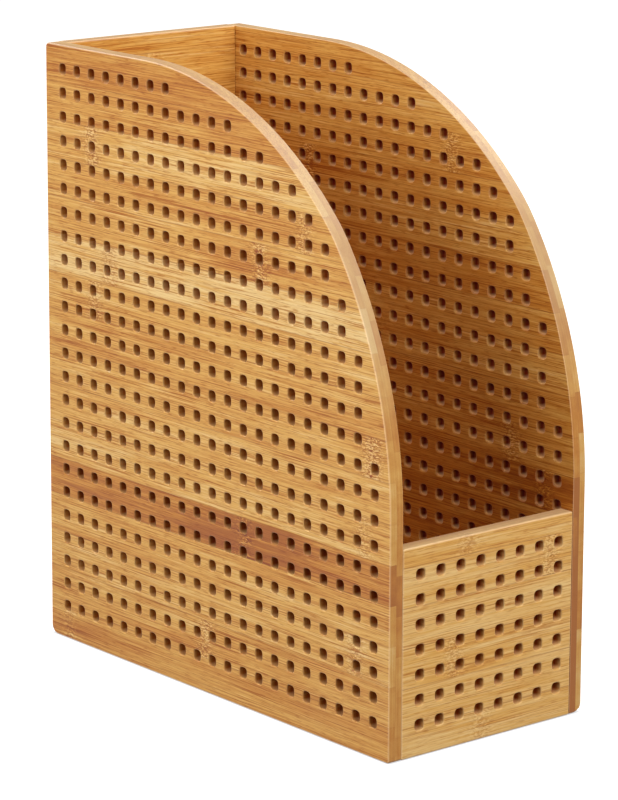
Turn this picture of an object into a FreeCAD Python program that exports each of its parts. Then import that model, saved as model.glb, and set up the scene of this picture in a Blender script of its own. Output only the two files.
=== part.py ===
"""Perforated bamboo magazine file holder.

A tall open-topped box: two perforated side panels with a swept-down front
outline, a low perforated front panel, a full-height plain back panel and a base
panel, all butt-jointed and held together by glued dowels.

Frame: +Z up, front towards -Y, +X to the right, origin at the middle of the
rectangle that the holder stands on.  Millimetres.
"""
import FreeCAD, Part
import math
import os
import Sketcher

# Driving dimensions: alias, value, meaning.
DIMENSIONS = (
    ("width", 120, "outside width"),
    ("depth", 260, "outside depth"),
    ("height", 300, "height of the back and of the rear of the sides"),
    ("front_height", 99, "height of the front panel"),
    ("board", 7.6, "board thickness"),
    ("curve_start", 111.5, "height at which the front edge of a side starts to lean back"),
    ("lower_radius", 210, "radius of the long lower arc of the outline"),
    ("knee_start", 231.5, "height at which the lower arc meets the knee arc"),
    ("knee_radius", 90, "radius of the knee arc"),
    ("knee_end", 242.5, "height at which the knee arc meets the upper arc"),
    ("rear_top_round", 2.2, "corner radius of the outline, rear top"),
    ("rear_foot_round", 4.5, "corner radius of the outline, rear bottom"),
    ("front_foot_round", 1.4, "corner radius of the outline, front bottom"),
    ("ease", 0.75, "radius of the sanded outer edges"),
    ("hole_size", 5.2, "across flats of a perforation"),
    ("hole_round", 1.7, "corner radius of a perforation"),
    ("row_pitch", 11.8, "height from one row of perforations to the next"),
    ("side_pitch", 11.75, "distance between perforations along a side panel"),
    ("side_rear_margin", 13.65, "rear edge of a side panel to the first perforation"),
    ("side_first_row", 16.8, "underside to the lowest row of a side panel"),
    ("front_pitch", 12.17, "distance between perforations along the front panel"),
    ("front_columns", 8, "perforations in a row of the front panel"),
    ("front_rows", 7, "rows of the front panel"),
    ("front_first_row", 14.8, "underside to the lowest row of the front panel"),
    ("front_shift", 1.0, "how far right of the middle the front panel's perforations sit"),
    ("dowel_diameter", 4, "dowel diameter"),
    ("dowel_in_side", 5, "dowel length inside a side panel"),
    ("dowel_in_end", 11, "dowel length inside the end of a cross panel"),
    ("dowel_chamfer", 0.5, "chamfer of a dowel's ends"),
    ("glue_room", 0.4, "how much deeper than the dowel each bore is"),
)

# Perforations of a side panel, from the bottom: (rows, perforations in each row),
# counted from the rear edge, so that every row ends clear of the curved outline.
SIDE_ROWS = ((11, 21), (4, 20), (2, 19), (2, 18), (1, 17), (1, 16), (1, 14), (1, 12), (1, 8))

# Dowel heights at the front, as gaps between perforation rows counted from the lowest row,
# at the back, as parts of the height, and along the base, as parts of the depth.
FRONT_DOWEL_GAPS = (0.5, 2.5, 4.5)
BACK_DOWEL_PARTS = (0.1, 0.3667, 0.6333, 0.9)
BASE_DOWEL_PARTS = (-0.3, 0.0, 0.3)

PUNCH_OVERRUN = 1.0      # how far a perforation's cutter stands out of each face
CLOSE = 0.01             # millimetres, for finding an edge by its place
X_AXIS = FreeCAD.Vector(1, 0, 0)
Y_AXIS = FreeCAD.Vector(0, 1, 0)

LINE_START = 1           # the sketcher's numbers for the ends of a line or arc, and for a centre
LINE_END = 2
CENTRE = 3
ORIGIN = -1

INNER_WIDTH = "Sizes.width - 2 * Sizes.board"
INNER_DEPTH = "Sizes.depth - 2 * Sizes.board"
SIDE_BORE = "Sizes.dowel_in_side + Sizes.glue_room"
END_BORE = "Sizes.dowel_in_end + Sizes.glue_room"

doc = FreeCAD.newDocument("magazine_file_holder")
sheet = doc.addObject("Spreadsheet::Sheet", "Sizes")


def fill_sheet():
    for number, (alias, value, meaning) in enumerate(DIMENSIONS, start=1):
        sheet.set("A%d" % number, meaning)
        sheet.set("B%d" % number, str(value))
        sheet.setAlias("B%d" % number, alias)
    doc.recompute()


def size(alias):
    return float(sheet.get(alias))


# ---------------------------------------------------------------- helpers

def make_body(name):
    body = doc.addObject("PartDesign::Body", name)
    body.Label = name
    return body


def sketch_on(body, role, name, offset=None):
    """A sketch on one of the body's origin planes, moved along its normal by a formula."""
    plane = [item for item in body.Origin.OriginFeatures if item.Role == role][0]
    sketch = body.newObject("Sketcher::SketchObject", name)
    sketch.AttachmentSupport = [(plane, "")]
    sketch.MapMode = "FlatFace"
    if offset:
        sketch.setExpression(".AttachmentOffset.Base.z", offset)
    return sketch


def bind(sketch, index, name, formula):
    sketch.renameConstraint(index, name)
    sketch.setExpression("Constraints." + name, formula)


def rectangle(sketch, left, bottom, width, height):
    """A closed rectangle whose four values are formulas of the sheet."""
    low = FreeCAD.Vector(evaluate(left), evaluate(bottom), 0)
    high = low + FreeCAD.Vector(evaluate(width), evaluate(height), 0)
    corners = (
        low,
        FreeCAD.Vector(high.x, low.y, 0),
        high,
        FreeCAD.Vector(low.x, high.y, 0),
    )
    for number, start in enumerate(corners):
        sketch.addGeometry(Part.LineSegment(start, corners[(number + 1) % 4]), False)
    for number in range(4):
        sketch.addConstraint(
            Sketcher.Constraint("Coincident", number, LINE_END, (number + 1) % 4, LINE_START))
    for number, kind in enumerate(("Horizontal", "Vertical", "Horizontal", "Vertical")):
        sketch.addConstraint(Sketcher.Constraint(kind, number))
    values = (
        ("left", "DistanceX", (ORIGIN, 1, 0, LINE_START), low.x, left),
        ("bottom", "DistanceY", (ORIGIN, 1, 0, LINE_START), low.y, bottom),
        ("wide", "DistanceX", (0, LINE_START, 0, LINE_END), high.x - low.x, width),
        ("tall", "DistanceY", (1, LINE_START, 1, LINE_END), high.y - low.y, height),
    )
    for name, kind, points, value, formula in values:
        index = sketch.addConstraint(Sketcher.Constraint(kind, *points, value))
        bind(sketch, index, name, formula)


def evaluate(formula):
    """The value of a formula of the sheet, to place geometry near its final position."""
    result = sheet.evalExpression(formula.replace("Sizes.", ""))
    return float(getattr(result, "Value", result))


def pad(body, sketch, name, length, towards_minus=False):
    feature = body.newObject("PartDesign::Pad", name)
    feature.Profile = sketch
    feature.setExpression("Length", length)
    feature.Reversed = towards_minus
    doc.recompute()
    return feature


def fillet(body, base, name, radius, wanted):
    """A fillet along the edges of base that the test function wants."""
    names = ["Edge%d" % number for number, edge in enumerate(base.Shape.Edges, start=1) if wanted(edge)]
    if not names:
        raise RuntimeError("no edge to round for " + name)
    feature = body.newObject("PartDesign::Fillet", name)
    feature.Base = (base, names)
    feature.setExpression("Radius", radius)
    doc.recompute()
    return feature


def bore_circles(sketch, places):
    """One circle per dowel; places are pairs of formulas (across, up)."""
    for number, (across, up) in enumerate(places):
        centre = FreeCAD.Vector(evaluate(across), evaluate(up), 0)
        radius = size("dowel_diameter") / 2
        sketch.addGeometry(Part.Circle(centre, FreeCAD.Vector(0, 0, 1), radius), False)
        across_index = sketch.addConstraint(
            Sketcher.Constraint("DistanceX", ORIGIN, 1, number, CENTRE, centre.x))
        up_index = sketch.addConstraint(
            Sketcher.Constraint("DistanceY", ORIGIN, 1, number, CENTRE, centre.y))
        width_index = sketch.addConstraint(Sketcher.Constraint("Diameter", number, 2 * radius))
        bind(sketch, across_index, "across_%d" % number, across)
        bind(sketch, up_index, "up_%d" % number, up)
        bind(sketch, width_index, "bore_%d" % number, "Sizes.dowel_diameter")


def pocket(body, sketch, name, depth, reversed_way):
    """A blind pocket; it has to take material away."""
    before = body.Shape.Volume
    feature = body.newObject("PartDesign::Pocket", name)
    feature.Profile = sketch
    feature.setExpression("Length", depth)
    feature.Reversed = reversed_way
    doc.recompute()
    if body.Shape.Volume > before - 1:
        raise RuntimeError(name + " cuts nothing")
    return feature


def along(edge, axis):
    """True for a straight edge parallel to the axis."""
    if not isinstance(edge.Curve, Part.Line):
        return False
    return abs(edge.tangentAt(edge.FirstParameter).dot(axis)) > 0.999


def punch(centre, along_x):
    """The cutter of one perforation: a square prism with rounded corners, along X or Y."""
    side = size("hole_size")
    length = size("board") + 2 * PUNCH_OVERRUN
    spans = (length, side, side) if along_x else (side, length, side)
    axis = X_AXIS if along_x else Y_AXIS
    corner = centre - FreeCAD.Vector(*spans) * 0.5
    block = Part.makeBox(*spans, corner)
    edges = [edge for edge in block.Edges if along(edge, axis)]
    return block.makeFillet(size("hole_round"), edges)


def punches(name, centres, along_x):
    """All the cutters of one panel, as one object."""
    feature = doc.addObject("Part::Feature", name)
    feature.Shape = Part.makeCompound([punch(centre, along_x) for centre in centres])
    return feature


def perforated(label, body, cutters):
    """The board with its perforations cut out."""
    cut = doc.addObject("Part::Cut", label)
    cut.Base = body
    cut.Tool = cutters
    cut.Label = label
    doc.recompute()
    if cut.Shape.Volume > body.Shape.Volume - 1:
        raise RuntimeError(label + " has no perforations")
    return cut


# ---------------------------------------------------------------- dowel places

def front_dowel_heights():
    return ["Sizes.front_first_row + Sizes.row_pitch * %g" % gap for gap in FRONT_DOWEL_GAPS]


def back_dowel_heights():
    return ["Sizes.height * %g" % part for part in BACK_DOWEL_PARTS]


def base_dowel_places():
    return ["Sizes.depth * %g" % part for part in BASE_DOWEL_PARTS]


FRONT_PLANE = "-Sizes.depth / 2 + Sizes.board / 2"     # middle of the front panel's thickness
BACK_PLANE = "Sizes.depth / 2 - Sizes.board / 2"
BASE_PLANE = "Sizes.board / 2"


# ---------------------------------------------------------------- side panels

def outline_arcs():
    """The three tangent arcs of the side outline, from the front edge up to the flat top.

    Each arc turns from one lean angle to the next; a lean angle is measured from straight
    up, leaning back, so the first arc starts at 0 and the last ends at 90 degrees.
    """
    lower = size("lower_radius")
    knee = size("knee_radius")
    lower_sine = (size("knee_start") - size("curve_start")) / lower
    knee_sine = lower_sine + (size("knee_end") - size("knee_start")) / knee
    upper = (size("height") - size("knee_end")) / (1 - knee_sine)
    leans = (0.0, math.asin(lower_sine), math.asin(knee_sine), math.pi / 2)
    arcs = []
    y = -size("depth") / 2
    z = size("curve_start")
    for number, radius in enumerate((lower, knee, upper)):
        begin, finish = leans[number], leans[number + 1]
        centre = FreeCAD.Vector(y + radius * math.cos(begin), z - radius * math.sin(begin), 0)
        circle = Part.Circle(centre, FreeCAD.Vector(0, 0, 1), radius)
        arcs.append(Part.ArcOfCircle(circle, math.pi - finish, math.pi - begin))
        y = centre.x - radius * math.cos(finish)
        z = centre.y + radius * math.sin(finish)
    return arcs


def draw_side_outline(sketch):
    """Bottom, front edge, three tangent arcs, top and rear edge, closed."""
    half = size("depth") / 2
    arcs = outline_arcs()
    rear_bottom = FreeCAD.Vector(half, 0, 0)
    front_bottom = FreeCAD.Vector(-half, 0, 0)
    curve_foot = FreeCAD.Vector(-half, size("curve_start"), 0)
    flat_start = arcs[-1].StartPoint
    rear_top = FreeCAD.Vector(half, size("height"), 0)
    bottom = sketch.addGeometry(Part.LineSegment(rear_bottom, front_bottom), False)
    front = sketch.addGeometry(Part.LineSegment(front_bottom, curve_foot), False)
    lower, knee, upper = [sketch.addGeometry(arc, False) for arc in arcs]
    top = sketch.addGeometry(Part.LineSegment(flat_start, rear_top), False)
    rear = sketch.addGeometry(Part.LineSegment(rear_top, rear_bottom), False)

    relations = (
        ("Coincident", bottom, LINE_END, front, LINE_START),
        ("Coincident", top, LINE_END, rear, LINE_START),
        ("Coincident", rear, LINE_END, bottom, LINE_START),
        # an arc of a sketch runs anticlockwise, so its end is the lower one here
        ("Tangent", front, LINE_END, lower, LINE_END),
        ("Tangent", lower, LINE_START, knee, LINE_END),
        ("Tangent", knee, LINE_START, upper, LINE_END),
        ("Tangent", upper, LINE_START, top, LINE_START),
        ("Horizontal", bottom),
        ("Horizontal", top),
        ("Vertical", front),
        ("Vertical", rear),
    )
    for relation in relations:
        sketch.addConstraint(Sketcher.Constraint(*relation))

    values = (
        ("front_y", "DistanceX", (ORIGIN, 1, bottom, LINE_END), "-Sizes.depth / 2"),
        ("rear_y", "DistanceX", (ORIGIN, 1, bottom, LINE_START), "Sizes.depth / 2"),
        ("bottom_z", "DistanceY", (ORIGIN, 1, bottom, LINE_START), "0"),
        ("curve_start", "DistanceY", (ORIGIN, 1, front, LINE_END), "Sizes.curve_start"),
        ("knee_start", "DistanceY", (ORIGIN, 1, lower, LINE_START), "Sizes.knee_start"),
        ("knee_end", "DistanceY", (ORIGIN, 1, knee, LINE_START), "Sizes.knee_end"),
        ("top_z", "DistanceY", (ORIGIN, 1, top, LINE_START), "Sizes.height"),
        ("lower_radius", "Radius", (lower,), "Sizes.lower_radius"),
        ("knee_radius", "Radius", (knee,), "Sizes.knee_radius"),
    )
    for name, kind, points, formula in values:
        index = sketch.addConstraint(Sketcher.Constraint(kind, *points, evaluate(formula)))
        bind(sketch, index, name, formula)


def side_panel(label, hand):
    """A perforated side; hand is -1 for the left panel and +1 for the right one."""
    body = make_body(label + "_board")
    body.setExpression(".Placement.Base.x", "Sizes.width / 2 * %d" % hand)
    outline = sketch_on(body, "YZ_Plane", label + "_outline")
    draw_side_outline(outline)
    doc.recompute()
    board = pad(body, outline, label + "_pad", "Sizes.board", towards_minus=hand > 0)

    half = size("depth") / 2
    corners = (
        ("rear_top_round", half, size("height")),
        ("rear_foot_round", half, 0),
        ("front_foot_round", -half, 0),
    )
    rounded = board
    for alias, y, z in corners:
        def at_corner(edge):
            middle = edge.CenterOfMass
            return along(edge, X_AXIS) and abs(middle.y - y) < CLOSE and abs(middle.z - z) < CLOSE
        rounded = fillet(body, rounded, label + "_" + alias, "Sizes." + alias, at_corner)

    def on_outer_face(edge):
        return abs(edge.BoundBox.XMin) < CLOSE and abs(edge.BoundBox.XMax) < CLOSE
    fillet(body, rounded, label + "_eased_edges", "Sizes.ease", on_outer_face)

    bores = sketch_on(body, "YZ_Plane", label + "_bores", "Sizes.board * %d" % -hand)
    places = [(FRONT_PLANE, height) for height in front_dowel_heights()]
    places += [(BACK_PLANE, height) for height in back_dowel_heights()]
    places += [(along_base, BASE_PLANE) for along_base in base_dowel_places()]
    bore_circles(bores, places)
    pocket(body, bores, label + "_dowel_bores", SIDE_BORE, hand > 0)

    centres = []
    x = hand * (size("width") - size("board")) / 2
    row = 0
    for rows, count in SIDE_ROWS:
        for _ in range(rows):
            z = size("side_first_row") + row * size("row_pitch")
            for column in range(count):
                y = half - size("side_rear_margin") - column * size("side_pitch")
                centres.append(FreeCAD.Vector(x, y, z))
            row += 1
    return perforated(label, body, punches(label + "_perforations", centres, along_x=True))


# ---------------------------------------------------------------- panels between the sides

def cross_panel(label, height, front_face, bore_heights, roundings):
    """A standing board between the sides; its thickness runs back from front_face."""
    body = make_body(label)
    body.setExpression(".Placement.Base.y", front_face + " + Sizes.board")
    face = sketch_on(body, "XZ_Plane", label + "_face")
    rectangle(face, "-(%s) / 2" % INNER_WIDTH, "0", INNER_WIDTH, height)
    doc.recompute()
    feature = pad(body, face, label + "_pad", "Sizes.board")

    edges = (
        ("top_front", -size("board"), evaluate(height)),
        ("top_rear", 0, evaluate(height)),
        ("bottom_front", -size("board"), 0),
        ("bottom_rear", 0, 0),
    )
    for name, y, z in edges:
        if name not in roundings:
            continue

        def at_edge(edge):
            middle = edge.CenterOfMass
            return along(edge, X_AXIS) and abs(middle.y - y) < CLOSE and abs(middle.z - z) < CLOSE
        feature = fillet(body, feature, label + "_" + name, "Sizes." + roundings[name], at_edge)

    places = [("-Sizes.board / 2", bore_height) for bore_height in bore_heights]
    end_bores(body, label, places)
    return body


def end_bores(body, label, places):
    """Blind dowel bores in both ends of a board that lies between the sides."""
    for end, hand in (("left", -1), ("right", 1)):
        bores = sketch_on(body, "YZ_Plane", "%s_%s_bores" % (label, end),
                          "(%s) / 2 * %d" % (INNER_WIDTH, hand))
        bore_circles(bores, places)
        pocket(body, bores, "%s_%s_dowel_bores" % (label, end), END_BORE, hand < 0)


def front_panel():
    body = cross_panel("front_panel_board", "Sizes.front_height", "-Sizes.depth / 2",
                       front_dowel_heights(),
                       {"top_front": "ease", "top_rear": "ease", "bottom_front": "front_foot_round"})
    centres = []
    columns = int(size("front_columns"))
    y = (size("board") - size("depth")) / 2
    for row in range(int(size("front_rows"))):
        z = size("front_first_row") + row * size("row_pitch")
        for column in range(columns):
            x = size("front_shift") + (column - (columns - 1) / 2) * size("front_pitch")
            centres.append(FreeCAD.Vector(x, y, z))
    return perforated("front_panel", body,
                      punches("front_panel_perforations", centres, along_x=False))


def back_panel():
    return cross_panel("back_panel", "Sizes.height", "Sizes.depth / 2 - Sizes.board",
                       back_dowel_heights(),
                       {"top_front": "ease", "top_rear": "rear_top_round",
                        "bottom_rear": "rear_foot_round"})


def base_panel():
    """The floor of the holder, between all four walls and level with their lower edges."""
    body = make_body("base_panel")
    plan = sketch_on(body, "XY_Plane", "base_panel_plan")
    rectangle(plan, "-(%s) / 2" % INNER_WIDTH, "-(%s) / 2" % INNER_DEPTH, INNER_WIDTH, INNER_DEPTH)
    doc.recompute()
    pad(body, plan, "base_panel_pad", "Sizes.board")
    places = [(along_base, "Sizes.board / 2") for along_base in base_dowel_places()]
    end_bores(body, "base_panel", places)
    return body


# ---------------------------------------------------------------- dowels

def dowel(label, hand, y, z):
    """A chamfered pin across the joint between a side and a cross panel."""
    body = make_body(label)
    inside = "Sizes.dowel_in_side" if hand < 0 else "Sizes.dowel_in_end"
    body.setExpression(".Placement.Base.x", "(%s) / 2 * %d - %s" % (INNER_WIDTH, hand, inside))
    body.setExpression(".Placement.Base.y", y)
    body.setExpression(".Placement.Base.z", z)
    section = sketch_on(body, "YZ_Plane", label + "_section")
    bore_circles(section, [("0", "0")])
    doc.recompute()
    pin = pad(body, section, label + "_pin", "Sizes.dowel_in_side + Sizes.dowel_in_end")
    chamfer = body.newObject("PartDesign::Chamfer", label + "_chamfer")
    ends = [number for number, edge in enumerate(pin.Shape.Edges, start=1)
            if isinstance(edge.Curve, Part.Circle)]
    chamfer.Base = (pin, ["Edge%d" % number for number in ends])
    chamfer.setExpression("Size", "Sizes.dowel_chamfer")
    doc.recompute()
    return body


def dowels():
    rows = [("front", FRONT_PLANE, height) for height in front_dowel_heights()]
    rows += [("back", BACK_PLANE, height) for height in back_dowel_heights()]
    rows += [("base", place, BASE_PLANE) for place in base_dowel_places()]
    made = []
    for side, hand in (("left", -1), ("right", 1)):
        counts = {}
        for joint, y, z in rows:
            counts[joint] = counts.get(joint, 0) + 1
            made.append(dowel("%s_%s_dowel_%d" % (side, joint, counts[joint]), hand, y, z))
    return made


# ---------------------------------------------------------------- build and write

def check(parts):
    doc.recompute()
    for item in doc.Objects:
        if "Invalid" in item.State or "Error" in item.State:
            raise RuntimeError(item.Label + " did not recompute: " + str(item.State))
    for item in parts:
        shape = item.Shape
        if shape.isNull() or not shape.isValid() or len(shape.Solids) != 1:
            raise RuntimeError(item.Label + " is not one valid solid")


fill_sheet()
parts = [
    side_panel("left_side_panel", -1),
    side_panel("right_side_panel", 1),
    front_panel(),
    back_panel(),
    base_panel(),
]
parts += dowels()
check(parts)

os.makedirs("parts", exist_ok=True)
for item in parts:
    item.Shape.exportStep("parts/%s.step" % item.Label)
    box = item.Shape.BoundBox
    print("%-22s %8.1f mm3  x %.1f..%.1f  y %.1f..%.1f  z %.1f..%.1f" % (
        item.Label, item.Shape.Volume,
        box.XMin, box.XMax, box.YMin, box.YMax, box.ZMin, box.ZMax))
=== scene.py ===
import math
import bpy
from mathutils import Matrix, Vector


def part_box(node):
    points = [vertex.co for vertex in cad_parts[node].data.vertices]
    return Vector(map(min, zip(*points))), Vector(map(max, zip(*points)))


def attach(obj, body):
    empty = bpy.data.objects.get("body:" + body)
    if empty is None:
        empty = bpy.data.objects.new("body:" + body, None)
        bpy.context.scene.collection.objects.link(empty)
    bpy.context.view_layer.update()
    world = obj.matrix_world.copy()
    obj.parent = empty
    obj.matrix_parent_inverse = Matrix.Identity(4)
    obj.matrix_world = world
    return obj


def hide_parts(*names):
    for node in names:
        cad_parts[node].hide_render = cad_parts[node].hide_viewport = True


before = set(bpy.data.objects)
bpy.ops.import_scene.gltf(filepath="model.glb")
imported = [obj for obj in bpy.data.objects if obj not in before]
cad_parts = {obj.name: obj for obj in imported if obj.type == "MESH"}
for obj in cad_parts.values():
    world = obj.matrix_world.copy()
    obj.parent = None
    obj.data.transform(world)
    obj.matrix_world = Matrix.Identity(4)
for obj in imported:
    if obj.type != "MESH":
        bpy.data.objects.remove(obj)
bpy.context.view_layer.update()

from types import SimpleNamespace

import bpy
from mathutils import Matrix, Vector
from mathutils.geometry import delaunay_2d_cdt

MM = 0.001
TO_MM = 1000


# ---------------------------------------------------------------- sizes, from the frame

def corners(node):
    """The lowest and the highest corner of a node's box."""
    low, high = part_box(node)
    return Vector(low), Vector(high)


side_low, side_high = corners("left_side_panel")
_, front_high = corners("front_panel")

BOARD = side_high.x - side_low.x          # thickness of every board
HALF_WIDTH = -side_low.x
FRONT_Y = side_low.y
REAR_Y = side_high.y
HEIGHT = side_high.z
FRONT_HEIGHT = front_high.z
INNER_HALF = HALF_WIDTH - BOARD

# outline of a side: a long lower arc, a tighter knee, and an upper arc up to the flat top
CURVE_START = 111.5 * MM
LOWER_RADIUS = 210 * MM
KNEE_START = 231.5 * MM
KNEE_RADIUS = 90 * MM
KNEE_END = 242.5 * MM

FRONT_FOOT_ROUND = 1.4 * MM
REAR_FOOT_ROUND = 4.5 * MM
REAR_TOP_ROUND = 2.2 * MM
FOOT_STEPS = 6           # facets round each corner of a side

# perforations
HOLE_SIZE = 5.2 * MM
HOLE_ROUND = 1.7 * MM
HOLE_RIM = 0.75 * MM
ROW_PITCH = 11.8 * MM
SIDE_PITCH = 11.75 * MM
SIDE_REAR_MARGIN = 13.65 * MM
SIDE_FIRST_ROW = 16.8 * MM
SIDE_ROWS = ((11, 21), (4, 20), (2, 19), (2, 18), (1, 17), (1, 16), (1, 14), (1, 12), (1, 8))
FRONT_PITCH = 12.17 * MM
FRONT_FIRST_ROW = 14.8 * MM
FRONT_HOLE_SHIFT = 1.0 * MM       # the front's perforations sit a little right of its middle
FRONT_COLUMNS = 8
FRONT_ROWS = 7

# sanded edges
OUTER_EASE = 0.75 * MM
INNER_EASE = 0.4 * MM
FRONT_EASE = 0.9 * MM    # the front board, along the edges of its outer face
FRONT_CORNER = 1.0 * MM  # the front board's four corners, seen from the front
BAR_EASE = 0.5 * MM      # the ends of the back and the base
BACK_RADII = (0.8 * MM, 0.8 * MM, 1.1 * MM, 1.0 * MM)    # low front, low rear, top rear, top front
BASE_RADII = (0.6 * MM,) * 4
RIM_STEPS = 3            # facets across a sanded edge
WALL_STEPS = 4           # facets across the thickness of a board's edge
CORNER_STEPS = 4         # facets round a corner of a perforation or of the front board
BAR_STEPS = 5            # facets round a corner of the back or the base
CURVE_STEP = math.radians(1.5)
TOE_RADIUS = 4.5 * MM    # the right side's worn front foot
TOE_REACH = 9 * MM       # how far back the wear spreads
TOE_STEP = 1.2 * MM      # the outline has a point at every such step on both sides of the toe
TOE_POINTS = 5
INSIDE_ONLY = 1          # what the triangulation returns
SAME_SPOT = 1e-7


# ---------------------------------------------------------------- outlines

def arc(centre, radius, start, end, steps):
    """Points of an arc with their outward normals; angles are in radians, anticlockwise."""
    points = []
    for number in range(steps + 1):
        angle = start + (end - start) * number / steps
        normal = Vector((math.cos(angle), math.sin(angle)))
        points.append((Vector(centre) + normal * radius, normal))
    return points


def rounded_rectangle(low, high, radii, steps):
    """Anticlockwise outline; radii of the corners low-low, high-low, high-high, low-high."""
    places = (
        (low[0] + radii[0], low[1] + radii[0]),
        (high[0] - radii[1], low[1] + radii[1]),
        (high[0] - radii[2], high[1] - radii[2]),
        (low[0] + radii[3], high[1] - radii[3]),
    )
    outline = []
    for number, (place, radius) in enumerate(zip(places, radii)):
        start = math.pi + number * math.pi / 2
        outline += arc(place, radius, start, start + math.pi / 2, steps)
    return outline


def side_outline(front_foot, rear_foot, rear_top):
    """Anticlockwise outline of a side in the (y, z) plane, from the front foot."""
    lower_sine = (KNEE_START - CURVE_START) / LOWER_RADIUS
    knee_sine = lower_sine + (KNEE_END - KNEE_START) / KNEE_RADIUS
    upper_radius = (HEIGHT - KNEE_END) / (1 - knee_sine)
    leans = (0.0, math.asin(lower_sine), math.asin(knee_sine), math.pi / 2)
    sweeps = []
    y, z = FRONT_Y, CURVE_START
    for radius, begin, finish in zip((LOWER_RADIUS, KNEE_RADIUS, upper_radius), leans, leans[1:]):
        centre = (y + radius * math.cos(begin), z - radius * math.sin(begin))
        steps = max(2, round((finish - begin) / CURVE_STEP))
        sweep = arc(centre, radius, math.pi - finish, math.pi - begin, steps)
        sweeps.append(sweep)
        y, z = sweep[0][0]
    upper, knee, lower = sweeps[2], sweeps[1][1:], sweeps[0][1:]
    down_the_front = upper + knee + lower
    foot = arc((FRONT_Y + front_foot, front_foot), front_foot, math.pi, 1.5 * math.pi, FOOT_STEPS)
    heel = arc((REAR_Y - rear_foot, rear_foot), rear_foot, -math.pi / 2, 0, FOOT_STEPS)
    head = arc((REAR_Y - rear_top, HEIGHT - rear_top), rear_top, 0, math.pi / 2, FOOT_STEPS)
    steps = [front_foot + TOE_STEP * number for number in range(1, TOE_POINTS + 1)]
    shin = [(Vector((FRONT_Y, step)), Vector((-1, 0))) for step in reversed(steps)]
    sole = [(Vector((FRONT_Y + step, 0)), Vector((0, -1))) for step in steps]
    return foot + sole + heel + head + down_the_front + shin


def hole_outline(centre):
    """Clockwise outline of a perforation; its normals point into the hole."""
    half = HOLE_SIZE / 2
    low = (centre[0] - half, centre[1] - half)
    high = (centre[0] + half, centre[1] + half)
    loop = rounded_rectangle(low, high, (HOLE_ROUND,) * 4, CORNER_STEPS)
    return [(point, -normal) for point, normal in reversed(loop)]


# ---------------------------------------------------------------- board meshes

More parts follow.
